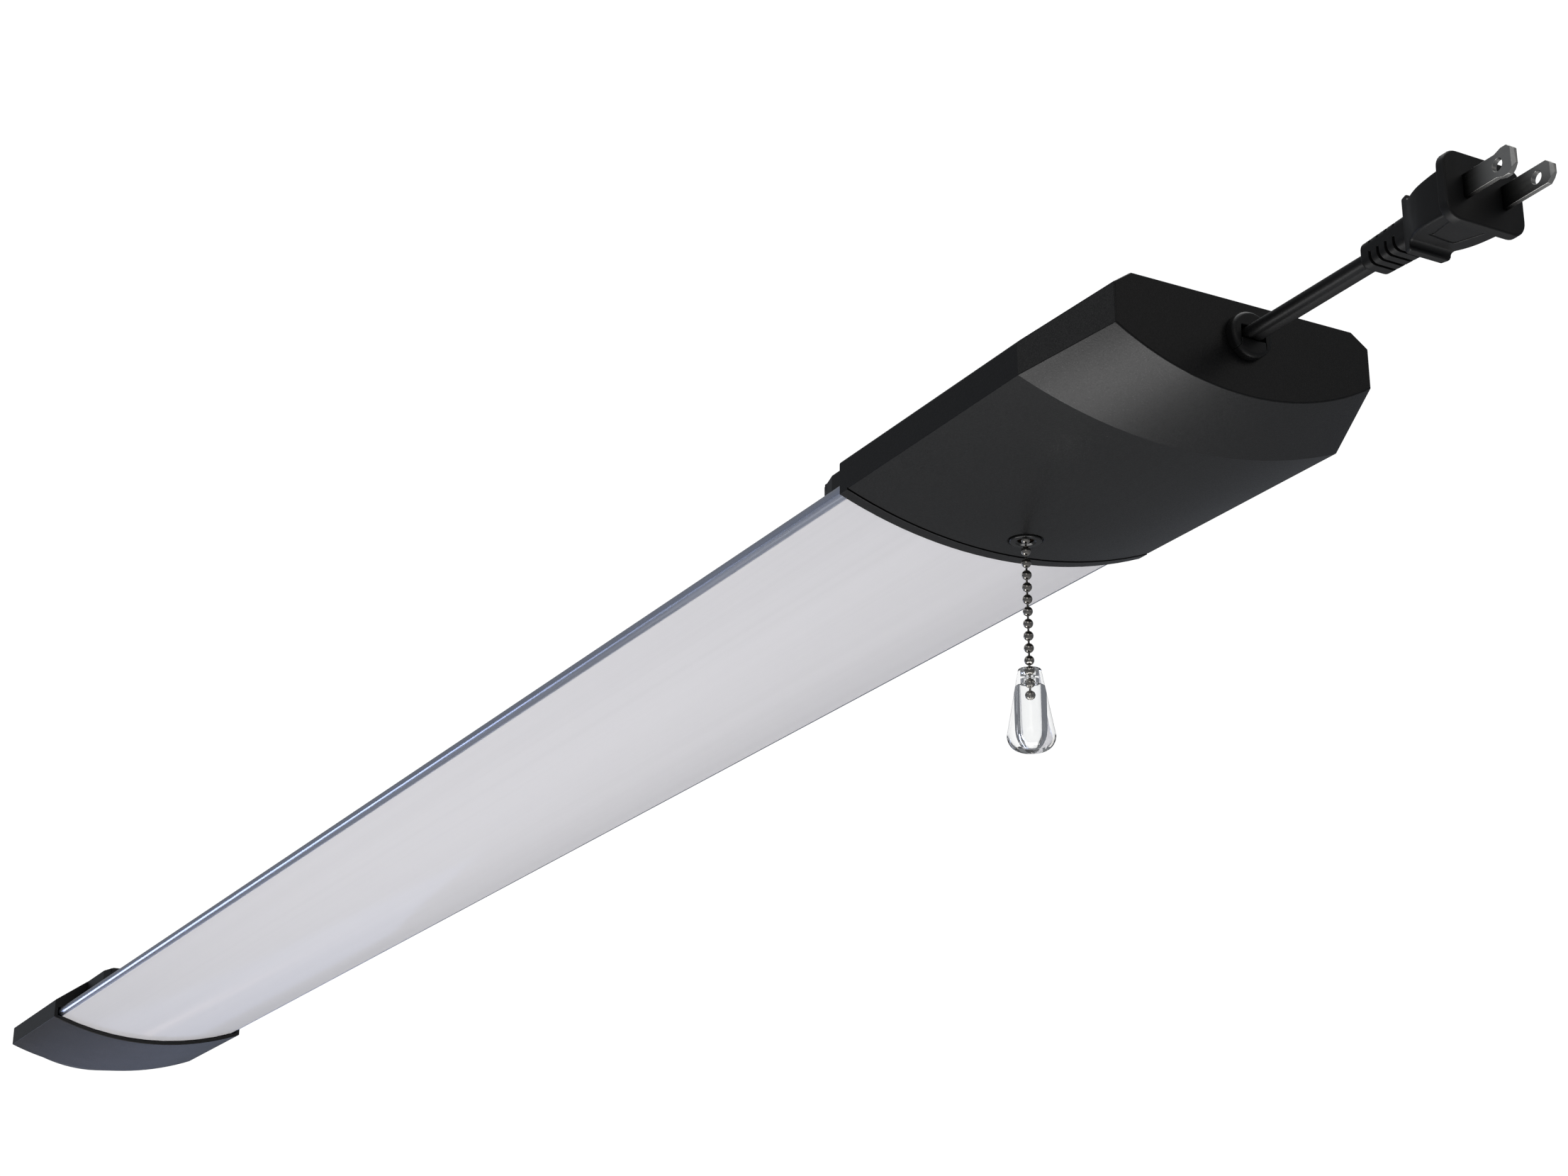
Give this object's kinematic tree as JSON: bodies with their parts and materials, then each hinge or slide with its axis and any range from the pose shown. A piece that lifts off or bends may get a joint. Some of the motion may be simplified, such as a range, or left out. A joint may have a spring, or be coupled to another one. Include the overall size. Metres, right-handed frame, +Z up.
{
  "type": "hanging shop light",
  "caption": "Slim hanging shop light: bowed diffuser under an aluminium channel between black moulded end caps, with a pull chain and a short corded plug.",
  "frame": {"origin": "on the flat top, at the centre of the four hanging holes", "axes": "+X along the light towards the cord, +Y across it, +Z up"},
  "size_m": [1.2872, 0.1118, 0.1014],
  "materials": {
    "channel": "smooth satin sheet",
    "diffuser": "frosted translucent",
    "lamp_board": "white solder mask",
    "lamp_chip": "yellow phosphor",
    "white_plastic": "satin moulded",
    "screw_steel": "zinc plated",
    "cap": "fine grained moulded black",
    "lid": "satin moulded black",
    "black_screw": "black oxide",
    "relief": "glossy black",
    "cord_jacket": "smooth black jacket",
    "black_lead": "smooth insulation",
    "white_lead": "smooth insulation",
    "red_lead": "smooth insulation",
    "plug_rubber": "satin moulded black",
    "blade_metal": "nickel plated blade",
    "switch_plastic": "dark phenolic",
    "plunger_plastic": "natural nylon",
    "spring_steel": "bright wire",
    "drum_plastic": "natural moulded",
    "contact_brass": "bright strip",
    "ring_plastic": "glossy black",
    "chain_nickel": "polished nickel",
    "chain_wire": "drawn wire",
    "clear_plastic": "clear moulded plastic",
    "circuit_board": "green solder mask",
    "ferrite": "dark sintered",
    "winding_tape": "yellow tape",
    "capacitor_sleeve": "shrunk sleeve",
    "film_yellow": "moulded box",
    "choke_wire": "lacquered copper",
    "fuse_glass": "ceramic tube",
    "chip_black": "moulded epoxy",
    "sink_aluminium": "mill finish"
  },
  "bodies": {
    "fixture": {"housing": "channel", "lens": "diffuser", "led_board_near": "lamp_board", "led_board_far": "lamp_board", "led_chips_near": "lamp_chip", "led_chips_far": "lamp_chip", "board_jumper": "white_plastic", "board_screws": "screw_steel", "near_cap": "cap", "far_cap": "cap", "near_lid": "lid", "far_lid": "lid", "near_lid_screws": "black_screw", "far_lid_screws": "black_screw", "channel_screws": "screw_steel", "strain_relief": "relief", "relief_wedge": "relief", "cord": "cord_jacket", "cord_tail": "cord_jacket", "live_lead": "black_lead", "neutral_lead": "white_lead", "switched_lead": "black_lead", "led_lead_plus": "red_lead", "led_lead_minus": "black_lead", "plug_body": "plug_rubber", "neutral_blade": "blade_metal", "live_blade": "blade_metal", "switch_case": "switch_plastic", "switch_cover": "switch_plastic", "return_spring": "spring_steel", "drum_pin": "spring_steel", "switch_terminals": "contact_brass", "ring_nut": "ring_plastic", "driver_board": "circuit_board", "driver_screws": "screw_steel", "transformer_core": "ferrite", "transformer_winding": "winding_tape", "bulk_capacitors": "capacitor_sleeve", "film_capacitor": "film_yellow", "line_choke": "choke_wire", "fuse": "fuse_glass", "bridge_rectifier": "chip_black", "heat_sink": "sink_aluminium", "power_transistor": "chip_black", "controller_chip": "chip_black", "input_connector": "white_plastic", "output_connector": "white_plastic"},
    "pull_plunger": {"switch_plunger": "plunger_plastic", "chain_inner_bead": "chain_nickel"},
    "chain_swivel": {"chain_top_bead": "chain_nickel"},
    "chain": {"chain_beads": "chain_nickel", "chain_wires": "chain_wire"},
    "bob": {"pull_bob": "clear_plastic"},
    "drum": {"contact_drum": "drum_plastic"}
  },
  "joints": [
    {"name": "chain_pull", "type": "slide", "parent": "fixture", "child": "pull_plunger", "axis": [0, 0, -1], "range_m": [0, 0.008], "stiffness_N_per_m": 300, "springref_m": -0.004, "deforming": ["return_spring"]},
    {"name": "chain_swing_along", "type": "hinge", "parent": "pull_plunger", "child": "chain_swivel", "pos_m": [0.4765, 0, -0.0327], "axis": [0, 1, 0], "range_deg": [-35, 35]},
    {"name": "chain_swing_across", "type": "hinge", "parent": "chain_swivel", "child": "chain", "pos_m": [0.4765, 0, -0.0327], "axis": [1, 0, 0], "range_deg": [-35, 35]},
    {"name": "bob_spin", "type": "hinge", "parent": "chain", "child": "bob", "pos_m": [0.4765, 0, -0.0788], "axis": [0, 0, 1], "continuous": true},
    {"name": "drum_turn", "type": "hinge", "parent": "fixture", "child": "drum", "pos_m": [0.4861, 0, -0.017], "axis": [0, 1, 0], "range_deg": [-46, 0]}
  ],
  "couplings": [
    {"joint": "drum_turn", "follows": "chain_pull", "rad_per_m": -98.17}
  ]
}
